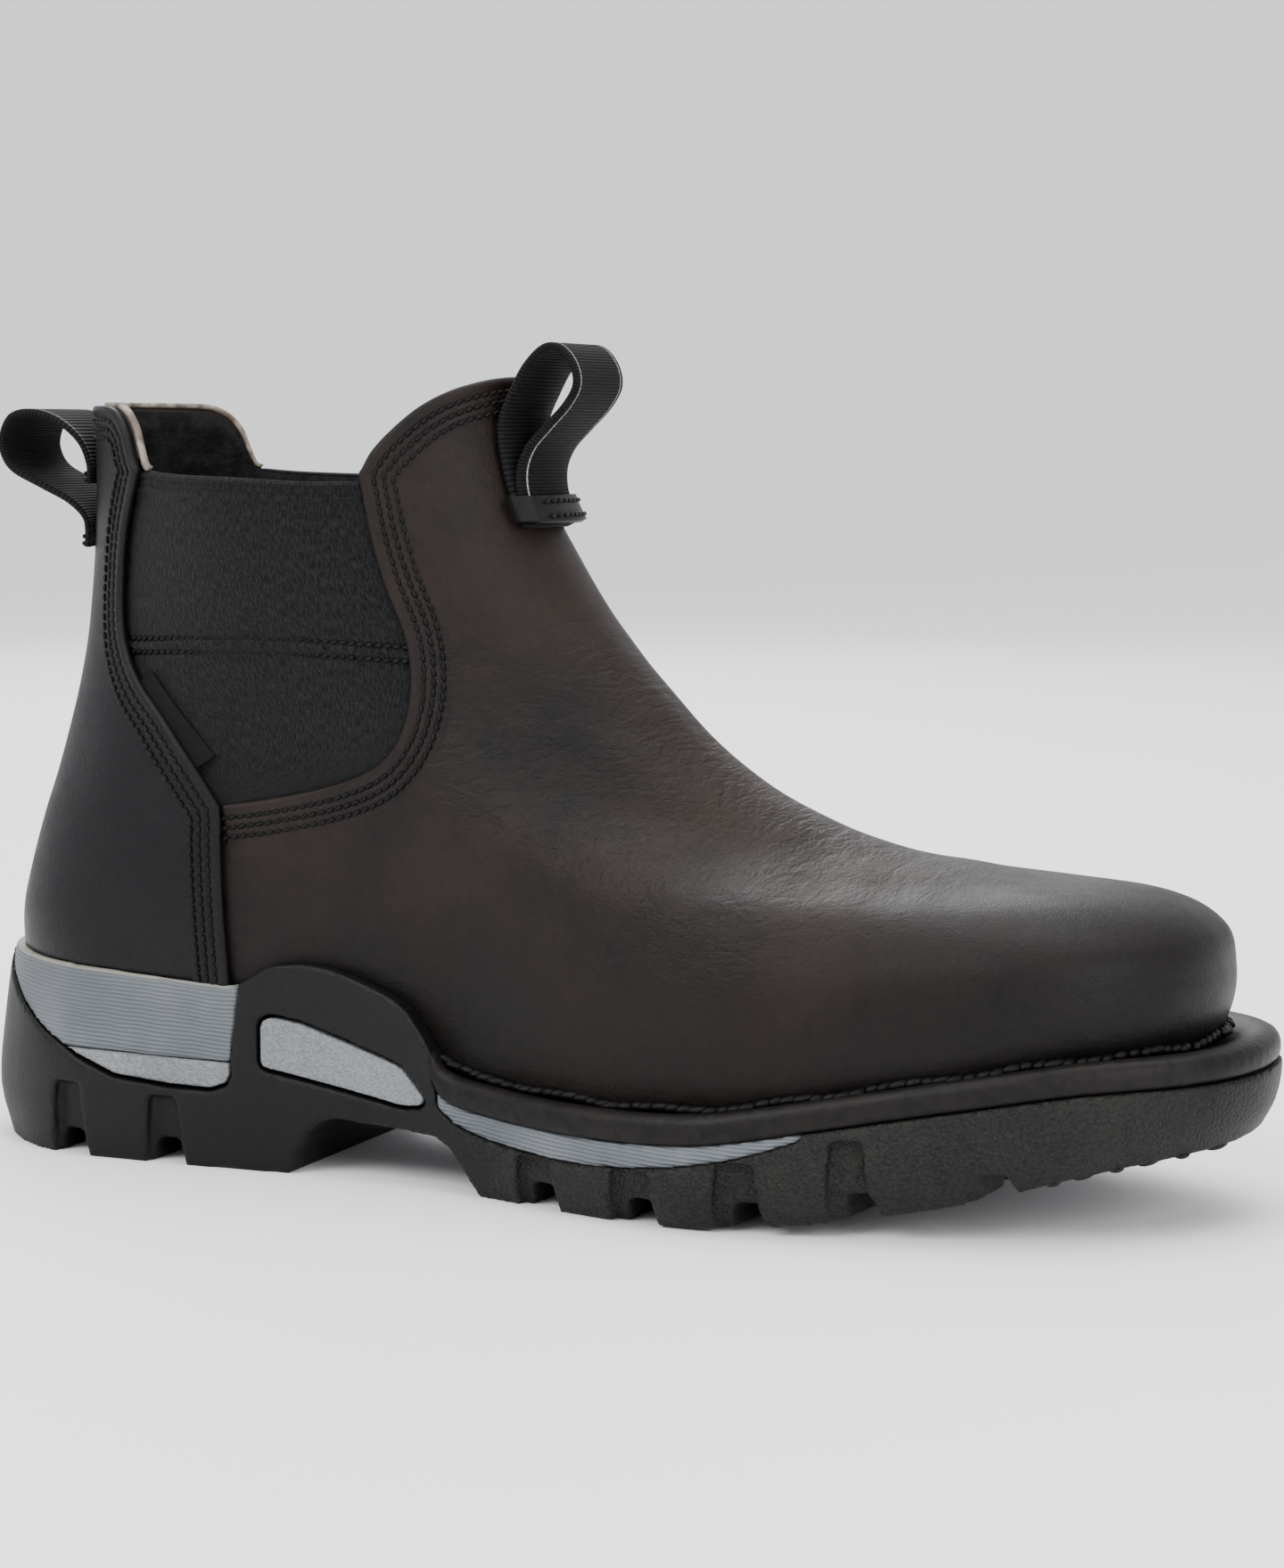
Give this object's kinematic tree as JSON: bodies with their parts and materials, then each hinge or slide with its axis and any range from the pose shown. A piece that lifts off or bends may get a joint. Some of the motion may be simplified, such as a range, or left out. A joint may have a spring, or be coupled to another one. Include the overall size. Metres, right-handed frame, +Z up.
{
  "type": "side gore work boot",
  "caption": "Ankle-height pull-on work boot with elastic side gores, pull loops front and back, a lugged rubber sole with a heel, and a grey midsole.",
  "frame": {"origin": "middle of the boot's bounding box, on the ground it stands on", "axes": "+X to the toe, +Y to the inner side of the right foot, +Z up"},
  "size_m": [0.32, 0.116, 0.1944],
  "materials": {
    "pull_up_leather": "satin",
    "counter_leather": "satin",
    "gore_elastic": "matt",
    "sole_rubber": "matt",
    "midsole_foam": "satin",
    "stippled_insert": "satin",
    "insole_lining": "matt",
    "loop_webbing": "matt"
  },
  "bodies": {
    "root": {"upper": "pull_up_leather", "gore_outer": "gore_elastic", "gore_inner": "gore_elastic", "back_counter": "counter_leather", "outsole": "sole_rubber", "midsole": "midsole_foam", "heel_wedge": "stippled_insert", "shank_plate_outer": "stippled_insert", "shank_plate_inner": "stippled_insert", "welt": "sole_rubber", "insole": "insole_lining", "front_pull_loop": "loop_webbing", "rear_pull_loop": "loop_webbing", "front_loop_patch": "counter_leather"}
  },
  "joints": []
}
